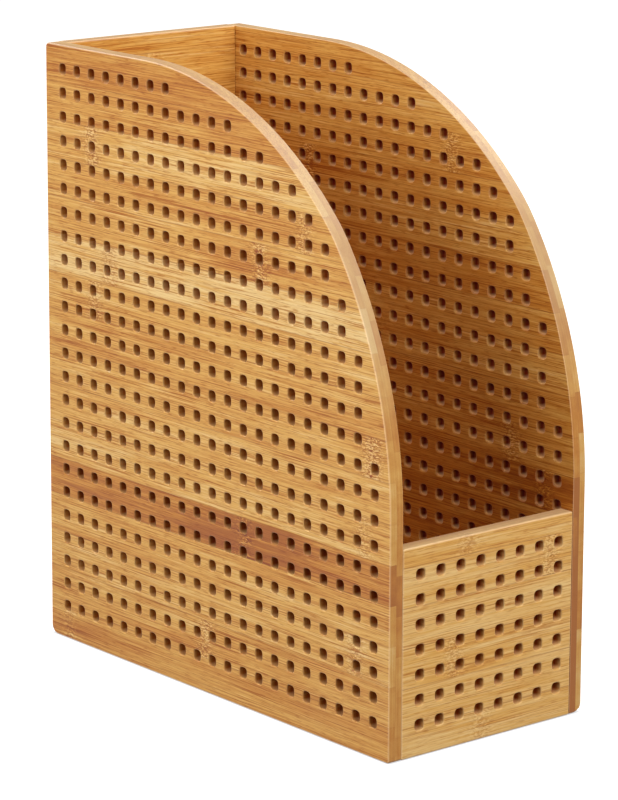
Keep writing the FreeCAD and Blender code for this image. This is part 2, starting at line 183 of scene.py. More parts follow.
class Board:
    """A flat board with rounded edges, cut by holes, as one closed mesh.

    (u, v) lie in the board's plane and w runs from its first face to its second one.
    """

    def __init__(self, place, thickness, broad_axis=None):
        self.place = place                    # turns (u, v, w) into a point of the frame
        self.thickness = thickness
        self.broad_axis = broad_axis          # axis of a broad face that is part of the wall
        self.points = []
        self.normals = []
        self.marks = []                       # of every point: hole wall, outer edge, fall in a hole
        self.faces = []
        self.cut_faces = set()                # numbers of the faces on the walls of the holes
        origin = place(0, 0, 0)
        self.u = (place(1, 0, 0) - origin)
        self.v = (place(0, 1, 0) - origin)
        self.w = (place(0, 0, 1) - origin)
        self.flip = self.u.cross(self.v).dot(self.w) > 0
        self.rims = ([], [])                  # rings of point numbers round each flat face
        self.flats = ([], [])                 # their (u, v)

    def add_face(self, numbers):
        self.faces.append(tuple(reversed(numbers)) if self.flip else tuple(numbers))

    def wall(self, loop, first_ease, second_ease, is_hole):
        """The wall along a loop, rounded by an ease into the first and the second face."""
        count = len(loop)
        rings = []
        highest = max(point.y for point, _ in loop)
        lowest = min(point.y for point, _ in loop)
        bevel = [math.pi / 2 * step / RIM_STEPS for step in range(RIM_STEPS + 1)]
        stations = [(0.0, turn) for turn in reversed(bevel)]
        if not is_hole:
            stations += [(step / WALL_STEPS, 0.0) for step in range(1, WALL_STEPS)]
        stations += [(1.0, turn) for turn in bevel]
        for share, turn in stations:
            ring = []
            flat = []
            facing = self.w if share == 1 else -self.w
            for point, normal in loop:
                ease = second_ease if share == 1 else first_ease
                spot = point - normal * ease * (1 - math.cos(turn))
                near = first_ease * (1 - math.sin(turn))
                far = self.thickness - second_ease * (1 - math.sin(turn))
                ring.append(len(self.points))
                flat.append(spot)
                self.points.append(self.place(spot.x, spot.y, near + share * (far - near)))
                sideways = self.u * normal.x + self.v * normal.y
                self.normals.append(sideways * math.cos(turn) + facing * math.sin(turn))
                amount = math.cos(turn)
                if self.broad_axis is not None:
                    amount *= 1 - normal[self.broad_axis] ** 2
                fall = (highest - point.y) / (highest - lowest)
                self.marks.append((amount, 0.0, fall) if is_hole else (0.0, amount, 0.0))
            rings.append(ring)
            if len(rings) == 1:
                self.rims[0].append(ring)
                self.flats[0].append(flat)
            if len(rings) == len(stations):
                self.rims[1].append(ring)
                self.flats[1].append(flat)
        for band, (upper, lower) in enumerate(zip(rings, rings[1:])):
            for number in range(count):
                after = (number + 1) % count
                if is_hole and band == RIM_STEPS:
                    self.cut_faces.add(len(self.faces))
                self.add_face((upper[number], lower[number], lower[after], upper[after]))

    def close(self):
        """Fills both flat faces between the outer loop and the holes."""
        for side in (0, 1):
            numbers = [number for ring in self.rims[side] for number in ring]
            spots = [spot for flat in self.flats[side] for spot in flat]
            owner = [k for k, ring in enumerate(self.rims[side]) for _ in ring]
            edges = []
            begin = 0
            for ring in self.rims[side]:
                edges += [(begin + k, begin + (k + 1) % len(ring)) for k in range(len(ring))]
                begin += len(ring)
            found = delaunay_2d_cdt(spots, edges, [], INSIDE_ONLY, SAME_SPOT)
            triangles, sources = found[2], found[3]
            for triangle in triangles:
                trio = [sources[k][0] for k in triangle]
                owners = {owner[k] for k in trio}
                if len(owners) == 1 and owner[trio[0]] > 0:
                    continue                  # inside a hole
                trio = [numbers[k] for k in trio]
                self.add_face(trio if side == 0 else tuple(reversed(trio)))

    def wear_toe(self, hand):
        """Rounds the outer bottom corner of a side's front foot."""
        for number, (point, normal) in enumerate(zip(self.points, self.normals)):
            out = hand * point.x - HALF_WIDTH + TOE_RADIUS
            down = TOE_RADIUS - point.z
            if out <= 0 or down <= 0:
                continue
            fade = max(0.0, 1 - (point.y - FRONT_Y) / TOE_REACH)
            reach = math.hypot(out, down)
            pull = fade * (1 - max(out, down) / reach)
            self.points[number] = point - Vector((hand * out, 0, -down)) * pull
            rolled = Vector((hand * out, 0, -down)) * (math.hypot(normal.x, normal.z) / reach)
            rolled.y = normal.y
            self.normals[number] = normal.lerp(rolled, fade)

    def build(self, name):
        mesh = bpy.data.meshes.new(name)
        mesh.from_pydata(self.points, [], self.faces)
        mesh.polygons.foreach_set("use_smooth", [True] * len(mesh.polygons))
        which = [int(number in self.cut_faces) for number in range(len(mesh.polygons))]
        mesh.polygons.foreach_set("material_index", which)
        layer = mesh.attributes.new("marks", "FLOAT_COLOR", "POINT")
        for item, mark in zip(layer.data, self.marks):
            item.color = (*mark, 1.0)
        mesh.normals_split_custom_set_from_vertices([normal.normalized() for normal in self.normals])
        mesh.validate()
        piece = bpy.data.objects.new(name, mesh)
        bpy.context.scene.collection.objects.link(piece)
        return piece


def side_holes():
    """The (y, z) middles of a side's perforations; every row starts at the rear."""
    row = 0
    for rows, count in SIDE_ROWS:
        for _ in range(rows):
            for column in range(count):
                yield (REAR_Y - SIDE_REAR_MARGIN - column * SIDE_PITCH, SIDE_FIRST_ROW + row * ROW_PITCH)
            row += 1


def side_board(name, hand, is_worn):
    """A side, from its outer face inwards; hand is -1 on the left and 1 on the right."""
    def place(u, v, w):
        return Vector((hand * (HALF_WIDTH - w), u, v))
    board = Board(place, BOARD)
    outline = side_outline(FRONT_FOOT_ROUND, REAR_FOOT_ROUND, REAR_TOP_ROUND)
    board.wall(outline, OUTER_EASE, INNER_EASE, is_hole=False)
    for centre in side_holes():
        board.wall(hole_outline(centre), HOLE_RIM, HOLE_RIM, is_hole=True)
    board.close()
    if is_worn:
        board.wear_toe(hand)
    return board.build(name)


def front_board(name):
    """The front, from its outer face rearwards."""
    def place(u, v, w):
        return Vector((u, FRONT_Y + w, v))
    board = Board(place, BOARD)
    low, high = (-INNER_HALF, 0), (INNER_HALF, FRONT_HEIGHT)
    outline = rounded_rectangle(low, high, (FRONT_CORNER,) * 4, CORNER_STEPS)
    board.wall(outline, FRONT_EASE, INNER_EASE, is_hole=False)
    for row in range(FRONT_ROWS):
        for column in range(FRONT_COLUMNS):
            x = FRONT_HOLE_SHIFT + (column - (FRONT_COLUMNS - 1) / 2) * FRONT_PITCH
            centre = (x, FRONT_FIRST_ROW + row * ROW_PITCH)
            board.wall(hole_outline(centre), HOLE_RIM, HOLE_RIM, is_hole=True)
    board.close()
    return board.build(name)


def bar_board(name, low, high, radii, broad_axis):
    """A plain board between the sides, as its (y, z) section run along X."""
    def place(u, v, w):
        return Vector((w - INNER_HALF, u, v))
    board = Board(place, 2 * INNER_HALF, broad_axis)
    board.wall(rounded_rectangle(low, high, radii, BAR_STEPS), BAR_EASE, BAR_EASE, is_hole=False)
    board.close()
    return board.build(name)


# ---------------------------------------------------------------- bamboo

class Wiring:
    """Short calls for building a node tree; a value is a number, a tuple or another socket."""

    def __init__(self, name):
        self.material = bpy.data.materials.new(name)
        self.material.use_nodes = True
        self.tree = self.material.node_tree
        self.tree.nodes.clear()

    def node(self, kind, values=(), **settings):
        made = self.tree.nodes.new(kind)
        for key, value in settings.items():
            setattr(made, key, value)
        for key, value in values:
            if isinstance(value, bpy.types.NodeSocket):
                self.tree.links.new(value, made.inputs[key])
            else:
                made.inputs[key].default_value = value
        return made

    def math(self, operation, *values):
        return self.node("ShaderNodeMath", enumerate(values), operation=operation).outputs[0]

    def add(self, *values):
        total = values[0]
        for value in values[1:]:
            total = self.math("ADD", total, value)
        return total

    def times(self, *values):
        total = values[0]
        for value in values[1:]:
            total = self.math("MULTIPLY", total, value)
        return total

    def vector(self, x, y, z):
        return self.node("ShaderNodeCombineXYZ", enumerate((x, y, z))).outputs[0]

    def noise(self, grain, lengths, detail=2.0, roughness=0.5):
        """Noise of 0 to 1 over the (u, v, w) sockets, with features of these lengths in mm."""
        spot = self.vector(*(self.times(value, 1 / length) for value, length in zip(grain, lengths)))
        made = self.node(
            "ShaderNodeTexNoise",
            (("Vector", spot), ("Scale", 1.0), ("Detail", detail), ("Roughness", roughness)),
        )
        return made.outputs["Fac"]

    def rest(self, value, strength=1.0):
        """1 less a value times a strength."""
        return self.add(1.0, self.times(value, -strength))

    def ease(self, value, low, high, start=0.0, end=1.0):
        """Smooth step from start, where value is low, to end, where it is high."""
        made = self.node(
            "ShaderNodeMapRange",
            ((0, value), (1, low), (2, high), (3, start), (4, end)),
            interpolation_type="SMOOTHSTEP",
        )
        return made.outputs[0]

    def blend(self, factor, first, second):
        made = self.node("ShaderNodeMix", ((0, factor), (2, first), (3, second)), data_type="FLOAT")
        return made.outputs[0]

    def tint(self, factor, first, second, mode="MIX"):
        made = self.node(
            "ShaderNodeMix", ((0, factor), (6, first), (7, second)), data_type="RGBA", blend_type=mode
        )
        return made.outputs[2]

    def finish(self, shader):
        self.node("ShaderNodeOutputMaterial", (("Surface", shader.outputs[0]),))
        return self.material

    def table(self, position, rows):
        """Looks rows of four up in steps; position 0 is the first row. Returns a socket per column."""
        made = self.node("ShaderNodeValToRGB")
        ramp = made.color_ramp
        ramp.interpolation = "CONSTANT"
        while len(ramp.elements) < len(rows):
            ramp.elements.new(1.0)
        for number, (element, row) in enumerate(zip(ramp.elements, rows)):
            element.position = number / len(rows)
            element.color = row
        share = self.times(self.add(position, 0.5), 1 / len(rows))
        self.tree.links.new(share, made.inputs[0])
        parts = self.node("ShaderNodeSeparateColor", ((0, made.outputs[0]),)).outputs
        return (*parts[:3], made.outputs[1])


def linear(red, green, blue):
    """A colour as the eye names it, 0 to 255, turned into the renderer's linear one."""
    values = []
    for value in (red, green, blue):
        share = value / 255
        values.append(share / 12.92 if share <= 0.04045 else ((share + 0.055) / 1.055) ** 2.4)
    return (*values, 1.0)


STRIP = 18.9                     # width of a bamboo strip, mm
KNUCKLE_SCALE = 300.0            # a knuckle's place is kept as a share of this, mm

# the cane's colours, from dark 0 to pale 1
TONES = (
    (0.0, linear(164, 91, 22)),
    (0.35, linear(195, 127, 44)),
    (0.7, linear(218, 166, 82)),
    (1.0, linear(232, 196, 130)),
)

# Each ply: height of its first joint in mm, then its strips from there up, as
# (tone from dark 0 to pale 1, place of the knuckle along the grain in mm, its strength,
# how much darker the cane is round it).
LEFT_OUTER = (-1.9, (
    (0.50, 15, 0.5, 0.3), (0.58, 126, 0.8, 0.2), (0.71, 236, 0.7, 0.1), (0.61, 0, 0.0, 0.0),
    (0.27, 155, 1.0, 1.0), (0.70, 241, 0.5, 0.1), (0.66, 0, 0.0, 0.0), (0.62, 247, 1.0, 0.2),
    (0.58, 0, 0.0, 0.0), (0.64, 39, 0.7, 0.2), (0.85, 51, 0.6, 0.1), (0.62, 167, 1.0, 0.5),
    (0.62, 199, 0.7, 0.1), (0.74, 37, 0.8, 0.2), (0.46, 0, 0.0, 0.0), (0.40, 0, 0.0, 0.0),
))
PLAIN_INNER = (-7.4, (
    (0.52, 90, 0.5, 0.1), (0.58, 0, 0.0, 0.0), (0.60, 205, 0.7, 0.3), (0.48, 140, 0.6, 0.2),
    (0.38, 0, 0.0, 0.0), (0.50, 30, 0.6, 0.2), (0.54, 220, 0.8, 0.6), (0.64, 0, 0.0, 0.0),
    (0.52, 115, 0.6, 0.1), (0.60, 180, 0.7, 0.2), (0.48, 0, 0.0, 0.0), (0.70, 60, 0.5, 0.1),
    (0.55, 230, 0.6, 0.3), (0.46, 0, 0.0, 0.0), (0.64, 150, 0.6, 0.2), (0.50, 20, 0.5, 0.2),
    (0.60, 0, 0.0, 0.0),
))
RIGHT_INNER = (-17.6, (
    (0.30, 0, 0.0, 0.0), (0.18, 110, 0.6, 0.2), (0.14, 0, 0.0, 0.0), (0.15, 190, 0.7, 0.3),
    (0.22, 40, 0.6, 0.1), (0.29, 0, 0.0, 0.0), (0.30, 240, 0.9, 0.9), (0.44, 217, 0.7, 0.1),
    (0.46, 0, 0.0, 0.0), (0.60, 120, 0.3, 0.0), (0.52, 0, 0.0, 0.0), (0.46, 30, 0.3, 0.0),
    (0.60, 0, 0.0, 0.0), (0.52, 66, 1.0, 0.4), (0.50, 172, 0.7, 0.1), (0.62, 0, 0.0, 0.0),
    (0.56, 0, 0.0, 0.0),
))
RIGHT_OUTER = (3.1, (
    (0.70, 50, 0.6, 0.2), (0.68, 130, 0.6, 0.1), (0.42, 210, 0.8, 0.5), (0.58, 0, 0.0, 0.0),
    (0.62, 85, 0.6, 0.1), (0.60, 0, 0.0, 0.0), (0.70, 20, 0.6, 0.2), (0.40, 160, 0.9, 0.8),
    (0.66, 0, 0.0, 0.0), (0.58, 235, 0.7, 0.1), (0.80, 110, 0.6, 0.1), (0.52, 0, 0.0, 0.0),
    (0.62, 60, 0.8, 0.3), (0.72, 0, 0.0, 0.0), (0.48, 190, 0.6, 0.2), (0.58, 0, 0.0, 0.0),
))
FRONT_PLY = (-4.5, (
    (0.84, 56, 0.6, 0.1), (0.78, 0, 0.0, 0.0), (0.82, 39, 0.8, 0.5), (0.86, 0, 0.0, 0.0),
    (0.84, 98, 0.9, 0.2), (0.76, 47, 0.6, 0.1),
))
BACK_INNER = (-12.0, (
    (0.50, 30, 0.6, 0.2), (0.46, 0, 0.0, 0.0), (0.58, 70, 0.5, 0.1), (0.52, 0, 0.0, 0.0),
    (0.62, 20, 0.6, 0.3), (0.60, 90, 0.5, 0.1), (0.54, 0, 0.0, 0.0), (0.70, 50, 0.5, 0.1),
    (0.60, 0, 0.0, 0.0), (0.66, 80, 0.6, 0.2), (0.74, 0, 0.0, 0.0), (0.64, 35, 0.5, 0.1),
    (0.62, 0, 0.0, 0.0), (0.68, 95, 0.5, 0.1), (0.58, 0, 0.0, 0.0), (0.64, 60, 0.4, 0.0),
    (0.60, 0, 0.0, 0.0),
))


# How far apart the patterns of two strips lie in the noise, mm; the second ply's strips are
# numbered from PLY_KEYS.
PLY_KEYS = 37.0
KEY_ALONG = 137.31
KEY_ACROSS = 31.73
KEY_DEPTH = 11.17

# Lengths of the features of a pattern, mm: along the grain, across it and through the board.
WANDER = (30, 4.5, 4.5)          # how the line of a knuckle wanders
KNOTTING = (5.5, 4, 4)           # how the fibres bend round a knuckle
BROAD = (140, 8, 8)
RIBBONS = (80, 2.2, 2.2)
FIBRES = (32, 0.75, 0.75)
THREADS = (50, 0.58, 0.58)       # long dark lines
CROWDS = (70, 4.2, 4.2)          # where the threads are many
DASHES = (6.5, 0.50, 0.50)       # short dark lines
FLECKS = (1.9, 0.75, 0.75)       # the dots of a knuckle
SANDING = (40, 40, 0.7)
GLUE_GAPS = (45, 1, 1)           # where a joint shows more or less

# Where a pattern starts to show, and where it shows in full.
THREAD_EDGE = (0.52, 0.66)
CROWD_EDGE = (0.36, 0.66)
DASH_EDGE = (0.56, 0.70)
DARK_FLECK_EDGE = (0.48, 0.60)
PALE_FLECK_EDGE = (0.50, 0.40)
GLUE_GAP_EDGE = (0.35, 0.65)
END_EDGE = (0.35, 0.95)          # of the normal's share along the grain: from a face to a cut end
SILL_LIGHT_EDGE = (0.1, 0.9)           # of the normal's share upwards, in a hole, for its painted light
TOP_EDGE = (0.05, 0.55)          # the same on a long edge, for its painted top light

KNUCKLE_WANDER = 10.0            # mm
KNUCKLE_REACH = 6.0              # half width of a knuckle, mm
HALO_REACH = 42.0                # half width of the darker cane round it, mm
KNUCKLE_BEND = 3.0               # mm
END_SMOOTHING = 0.85             # how much of the fibres a cut end loses

# Strengths of the patterns, as steps between dark cane (0) and pale cane (1).
BROAD_STEP = 0.62
RIBBON_STEP = 0.56
RIBBON_STEP_HALO = 2.4           # more of the ribbons in the halo of a knuckle
FIBRE_STEP = 1.12
HALO_STEP = -0.30
PALE_FLECK_STEP = 0.55
END_CONTRAST = 0.6               # a cut end spreads the tones of the strips, and darkens them
END_STEP = -0.38
SANDING_STEP = 0.55

# Shares of the dark lines, and of the tints below.
THREADS_ALONE = 0.4
THREADS_CROWDED = 0.8
DASH_SHARE = 0.7
LINE_SHARE = 0.88
JOINT_SHARE = 0.7
SEAM_SHARE = 0.15
GLUE_LEAST = 0.25
JOINT_FADE = 0.75                # how much of a joint is lost on a cut end
RIM_SHARE = 0.3
# painted top light on long edges that face up
TOP_LIGHT_SHARE = 0.5
END_SHARE = 0.28
# painted highlight along the arrises, partly sanded paleness
ARRIS_HIGHLIGHT_SHARE = 0.25
# painted light on a hole's wall near the face
CUT_RIM_LIGHT_SHARE = 0.6
# painted light where a hole's wall faces up
SILL_LIGHT_SHARE = 0.45

LINE_TINT = linear(206, 162, 96)
FLECK_TINT = linear(190, 136, 82)
GLUE_TINT = linear(186, 136, 84)
RIM_TINT = linear(222, 172, 112)
# painted top light: long edges that face up are paler and greyer
TOP_LIGHT_TINT = linear(186, 172, 144)
END_TINT = linear(152, 108, 62)
# painted highlight along the arrises, partly sanded paleness
ARRIS_HIGHLIGHT_TINT = linear(255, 230, 190)
# painted light on a hole's wall near the face
CUT_RIM_LIGHT_TINT = linear(228, 176, 108)
# painted shade deeper in a hole
HOLE_SHADE_TINT = linear(180, 102, 50)
# painted shade under the top of a hole
ROOF_SHADE_TINT = linear(182, 124, 66)
# painted light where a hole's wall faces up
SILL_LIGHT_TINT = linear(226, 178, 124)

# How far the patterns stand out or lie deep, in parts of the relief's depth.
RELIEF_DEPTH = 0.12 * MM
FIBRE_RELIEF = 0.5
LINE_RELIEF = -0.5
JOINT_RELIEF = -0.9
FLECK_RELIEF = -0.6

# Distances in mm over which a tint comes in or fades.
JOINT_WIDTH = (0.45, 0.08)
SEAM_WIDTH = (0.30, 0.05)
# painted light: fades out with distance from the face, mm
CUT_RIM_LIGHT_DEPTH = (1.9, 0.4)
# painted shade: comes in with distance from the face, mm
HOLE_SHADE_DEPTH = (1.0, 3.4)
ROOF_SHADE_DEPTH = (0.6, 0.0)          # a share of the hole's height, down from its top, for the painted shade under it


def find_cane(w, axes, origin, plies, middle, seed):
    """Where a point lies in its board and its strip, and what the tables say of that strip."""
    place = w.node("ShaderNodeTexCoord").outputs["Object"]
    metres = w.node("ShaderNodeSeparateXYZ", ((0, place),)).outputs
    grain_axis, grain_sign, across_axis, depth_axis = axes
    along = w.add(w.times(metres[grain_axis], TO_MM * grain_sign), -origin)
    across = w.times(metres[across_axis], TO_MM)
    depth = w.times(metres[depth_axis], TO_MM)
    is_second = w.math("GREATER_THAN", depth, middle)

    # which strip a point is in, and how far it is from the strip's joints
    first = w.blend(is_second, plies[0][0], plies[1][0])
    strips = w.times(w.add(across, w.times(first, -1)), 1 / STRIP)
    number = w.math("FLOOR", strips)
    share = w.math("FRACT", strips)
    from_joint = w.times(w.math("MINIMUM", share, w.rest(share)), STRIP)
    from_ply = w.math("ABSOLUTE", w.add(depth, -middle))
    columns = []
    for _, rows in plies:
        shares = [(tone, at / KNUCKLE_SCALE, force, gloom) for tone, at, force, gloom in rows]
        columns.append(w.table(number, shares))
    tone, knuckle_at, force, gloom = (w.blend(is_second, a, b) for a, b in zip(*columns))

    # every strip is its own piece of cane, so its pattern starts somewhere else
    key = w.add(w.times(is_second, PLY_KEYS), number, seed)
    u = w.add(along, w.times(key, KEY_ALONG))
    v = w.add(across, w.times(key, KEY_ACROSS))
    d = w.add(depth, w.times(key, KEY_DEPTH))
    return SimpleNamespace(
        board=(along, across, depth), strip=(u, v, d), key=key, from_joint=from_joint,
        from_ply=from_ply, tone=tone, knuckle_at=knuckle_at, force=force, gloom=gloom,
    )


def find_surface(w, grain_axis):
    """How far a point faces up, how far it is on a cut end (1) or a face (0), and its marks."""
    facing = w.node("ShaderNodeNewGeometry").outputs["Normal"]
    leans = w.node("ShaderNodeSeparateXYZ", ((0, facing),)).outputs
    end = w.ease(w.math("ABSOLUTE", leans[grain_axis]), *END_EDGE)
    marks = w.node("ShaderNodeVertexColor", layer_name="marks").outputs[0]
    mark = w.node("ShaderNodeSeparateColor", ((0, marks),)).outputs
    return SimpleNamespace(upward=leans[2], end=end, wall=mark[0], edge=mark[1], fall=mark[2])


def find_grain(w, cane, surface, figure):
    """The patterns of the fibres at a point."""
    # the knuckle, where the fibres part and knot, and the darker cane round it
    u, v, d = cane.strip
    wander = w.add(w.noise(cane.strip, WANDER), -0.5)
    place = w.times(cane.knuckle_at, -KNUCKLE_SCALE)
    off = w.add(cane.board[0], place, w.times(wander, KNUCKLE_WANDER))
    near = w.times(off, 1 / KNUCKLE_REACH)
    far = w.times(off, 1 / HALO_REACH)
    knuckle = w.times(w.math("EXPONENT", w.times(near, near, -1)), cane.force)
    halo = w.times(w.math("EXPONENT", w.times(far, far, -1)), cane.gloom)
    bend = w.times(w.add(w.noise(cane.strip, KNOTTING), -0.5), knuckle, KNUCKLE_BEND)
    bent = (u, w.add(v, bend), d)

    long_grain = w.times(w.rest(surface.end, END_SMOOTHING), figure)
    broad = w.add(w.noise(bent, BROAD), -0.5)
    ribbons = w.add(w.noise(bent, RIBBONS, detail=3.0, roughness=0.66), -0.5)
    fibres = w.add(w.noise(bent, FIBRES, detail=2.0, roughness=0.65), -0.5)
    threads = w.ease(w.noise(bent, THREADS, detail=1.0), *THREAD_EDGE)
    crowd = w.ease(w.noise(bent, CROWDS), *CROWD_EDGE)
    dashes = w.ease(w.noise(bent, DASHES, detail=1.0), *DASH_EDGE)
    threads = w.times(threads, w.add(w.times(crowd, THREADS_CROWDED), THREADS_ALONE))
    lines = w.times(w.add(threads, w.times(dashes, DASH_SHARE)), long_grain)
    flecks = w.noise(bent, FLECKS, detail=3.0, roughness=0.65)
    dark_flecks = w.times(w.ease(flecks, *DARK_FLECK_EDGE), knuckle, long_grain)
    pale_flecks = w.times(w.ease(flecks, *PALE_FLECK_EDGE), knuckle, long_grain)
    sanding = w.add(w.noise(cane.board, SANDING), -0.5)
    level = w.add(
        cane.tone,
        w.times(broad, BROAD_STEP),
        w.times(ribbons, w.add(RIBBON_STEP, w.times(halo, RIBBON_STEP_HALO)), long_grain),
        w.times(fibres, long_grain, FIBRE_STEP),
        w.times(halo, HALO_STEP),
        w.times(pale_flecks, PALE_FLECK_STEP),
        w.times(surface.end, w.add(w.times(cane.tone, END_CONTRAST), END_STEP)),
        w.times(surface.end, sanding, SANDING_STEP),
    )
    return SimpleNamespace(level=level, fibres=fibres, lines=lines, dark_flecks=dark_flecks)


def find_joint(w, cane, surface):
    """How strongly the glue shows between two strips."""
    spot = (cane.strip[0], cane.key, 0.0)
    gaps = w.ease(w.noise(spot, GLUE_GAPS), *GLUE_GAP_EDGE, GLUE_LEAST, 1.0)
    return w.times(w.ease(cane.from_joint, *JOINT_WIDTH), gaps, w.rest(surface.end, JOINT_FADE))


def wood_colour(w, cane, grain, joint):
    """The colour of the cane with its dark lines and glue."""
    ramp = w.node("ShaderNodeValToRGB", ((0, grain.level),))
    elements = ramp.color_ramp.elements
    while len(elements) < len(TONES):
        elements.new(0.5)
    for element, (position, tone_colour) in zip(elements, TONES):
        element.position = position
        element.color = tone_colour
    colour = w.tint(w.times(grain.lines, LINE_SHARE), ramp.outputs[0], LINE_TINT, "MULTIPLY")
    colour = w.tint(grain.dark_flecks, colour, FLECK_TINT, "MULTIPLY")

    # glue lines: between strips, and between the two plies where an edge shows them
    seam = w.ease(cane.from_ply, *SEAM_WIDTH)
    glue = w.math("MAXIMUM", w.times(joint, JOINT_SHARE), w.times(seam, SEAM_SHARE))
    return w.tint(glue, colour, GLUE_TINT, "MULTIPLY")


def cut_wood(w, cane, surface, grain, colour, hole_shade):
    """Bare wood in a hole: paler near the face from painted light, darker deeper in and under the hole's
    top from painted shade, and palest from painted light where it faces up.
    """
    from_face = w.add(BOARD / MM / 2, w.times(cane.from_ply, -1))
    # painted light on the wall near the face, where light gets into the hole
    rim_light = w.ease(from_face, *CUT_RIM_LIGHT_DEPTH, 0.0, CUT_RIM_LIGHT_SHARE)
    # painted shade deeper in the hole, its strength set per board
    inside = w.ease(from_face, *HOLE_SHADE_DEPTH, 0.0, hole_shade)
    # painted shade under the top of the hole, and painted light where the wall faces up
    roof_shade = w.ease(surface.fall, *ROOF_SHADE_DEPTH, 0.0, hole_shade)
    sill_light = w.ease(surface.upward, *SILL_LIGHT_EDGE, 0.0, SILL_LIGHT_SHARE)
    colour = w.tint(rim_light, colour, CUT_RIM_LIGHT_TINT)
    colour = w.tint(inside, colour, HOLE_SHADE_TINT, "MULTIPLY")
    colour = w.tint(roof_shade, colour, ROOF_SHADE_TINT, "MULTIPLY")
    colour = w.tint(sill_light, colour, SILL_LIGHT_TINT)
    return w.node("ShaderNodeBsdfPrincipled", (
        ("Base Color", colour),
        ("Roughness", w.add(0.78, w.times(grain.fibres, 0.2))),
        ("Specular IOR Level", 0.15),
    ))


def lacquered_wood(w, surface, grain, joint, colour):
    """The faces and edges: paler on rims, paler still on up-facing long edges from painted top light,
    greyer on cut ends, and palest on arrises from a painted highlight with some sanded paleness.
    """
    arris = w.times(surface.edge, w.rest(surface.edge), 4.0)       # 1 halfway round an arris: a painted highlight, with some sanded paleness
    # painted top light: long edges that face up are paler
    top = w.times(surface.edge, w.ease(surface.upward, *TOP_EDGE))
    colour = w.tint(w.times(surface.wall, RIM_SHARE), colour, RIM_TINT)
    colour = w.tint(w.times(top, TOP_LIGHT_SHARE), colour, TOP_LIGHT_TINT)
    colour = w.tint(w.times(surface.end, END_SHARE), colour, END_TINT)
    colour = w.tint(w.times(arris, ARRIS_HIGHLIGHT_SHARE), colour, ARRIS_HIGHLIGHT_TINT)
    relief = w.add(
        w.times(grain.fibres, FIBRE_RELIEF),
        w.times(grain.lines, LINE_RELIEF),
        w.times(joint, JOINT_RELIEF),
        w.times(grain.dark_flecks, FLECK_RELIEF),
    )
    bump = w.node(
        "ShaderNodeBump", (("Strength", 0.14), ("Distance", RELIEF_DEPTH), ("Height", relief))
    )
    return w.node("ShaderNodeBsdfPrincipled", (
        ("Base Color", colour),
        ("Roughness", w.add(0.42, w.times(grain.fibres, 0.12), w.times(grain.lines, 0.10))),
        ("Specular IOR Level", 0.30),
        ("Coat Weight", 0.10),
        ("Coat Roughness", 0.30),
        ("Normal", bump.outputs[0]),
    ))


def bamboo(name, axes, origin, plies, middle, seed, figure=1.0, hole_shade=0.0, is_cut=False):
    """Laminated bamboo, lacquered, or bare where it is cut through.

    axes gives the frame axis of the grain, its sign, and the axes of the strips' width and of the
    board's thickness; origin is the mm along the grain where places start. plies are the tables of
    the strips before and after the middle of the thickness. seed sets the patterns of this board
    apart. figure is the strength of the fibres, and hole_shade how strongly painted shade darkens
    the walls of the holes, deeper in and under their tops.
    """
    w = Wiring(name)
    cane = find_cane(w, axes, origin, plies, middle, seed)
    surface = find_surface(w, axes[0])
    grain = find_grain(w, cane, surface, figure)
    joint = find_joint(w, cane, surface)
    colour = wood_colour(w, cane, grain, joint)
    if is_cut:
        shader = cut_wood(w, cane, surface, grain, colour, hole_shade)
    else:
        shader = lacquered_wood(w, surface, grain, joint, colour)
    return w.finish(shader)


def finish_piece(piece, materials, slot, *nodes):
    """Gives a piece its materials, hangs it under the root body and hides the parts it stands in for."""
    for material in materials:
        piece.data.materials.append(material)
    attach(piece, "root")
    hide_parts(*nodes)
    return piece


# The grain's axis and sign, the axis of the strips' width and that of the plies.
ALONG_Y = (1, -1, 2, 0)          # the sides: from the rear to the front, strips stacked up
ALONG_X = (0, 1, 2, 1)           # the front and the back: from the left to the right
FLOOR_GRAIN = (1, -1, 0, 2)      # the base: strips side by side
REAR_MM = REAR_Y / MM
HALF_MM = HALF_WIDTH / MM
MIDDLE_SIDE = (HALF_WIDTH - BOARD / 2) / MM
MIDDLE_FRONT = (FRONT_Y + BOARD / 2) / MM
MIDDLE_BACK = (REAR_Y - BOARD / 2) / MM
MIDDLE_BASE = BOARD / 2 / MM
LEFT_SEED = 3.0
RIGHT_SEED = 11.0
FRONT_SEED = 23.0
BACK_SEED = 31.0
BASE_SEED = 43.0


def finishes(name, *wood, figure, hole_shade):
    """The lacquered surface and the bare cut of one board."""
    return bamboo(name, *wood, figure), bamboo(name + "_cut", *wood, figure, hole_shade, is_cut=True)


base_ply = (-HALF_MM, RIGHT_OUTER[1])
# hole_shade sets how dark the painted shade in each board's holes is
bamboo_left = finishes(
    "bamboo_left", ALONG_Y, -REAR_MM, (LEFT_OUTER, PLAIN_INNER), -MIDDLE_SIDE, LEFT_SEED,
    figure=1.0, hole_shade=0.7,
)
bamboo_right = finishes(
    "bamboo_right", ALONG_Y, -REAR_MM, (RIGHT_INNER, RIGHT_OUTER), MIDDLE_SIDE, RIGHT_SEED,
    figure=1.0, hole_shade=1.0,
)
bamboo_front = finishes(
    "bamboo_front", ALONG_X, -HALF_MM, (FRONT_PLY, PLAIN_INNER), MIDDLE_FRONT, FRONT_SEED,
    figure=0.7, hole_shade=0.85,
)
bamboo_back = bamboo(
    "bamboo_back", ALONG_X, -HALF_MM, (BACK_INNER, RIGHT_OUTER), MIDDLE_BACK, BACK_SEED
)
bamboo_base = bamboo(
    "bamboo_base", FLOOR_GRAIN, -REAR_MM, (base_ply, base_ply), MIDDLE_BASE, BASE_SEED
)


# ---------------------------------------------------------------- the pieces

left = side_board("left_side", -1, is_worn=False)
finish_piece(left, bamboo_left, "bamboo_sides", "left_side_panel")

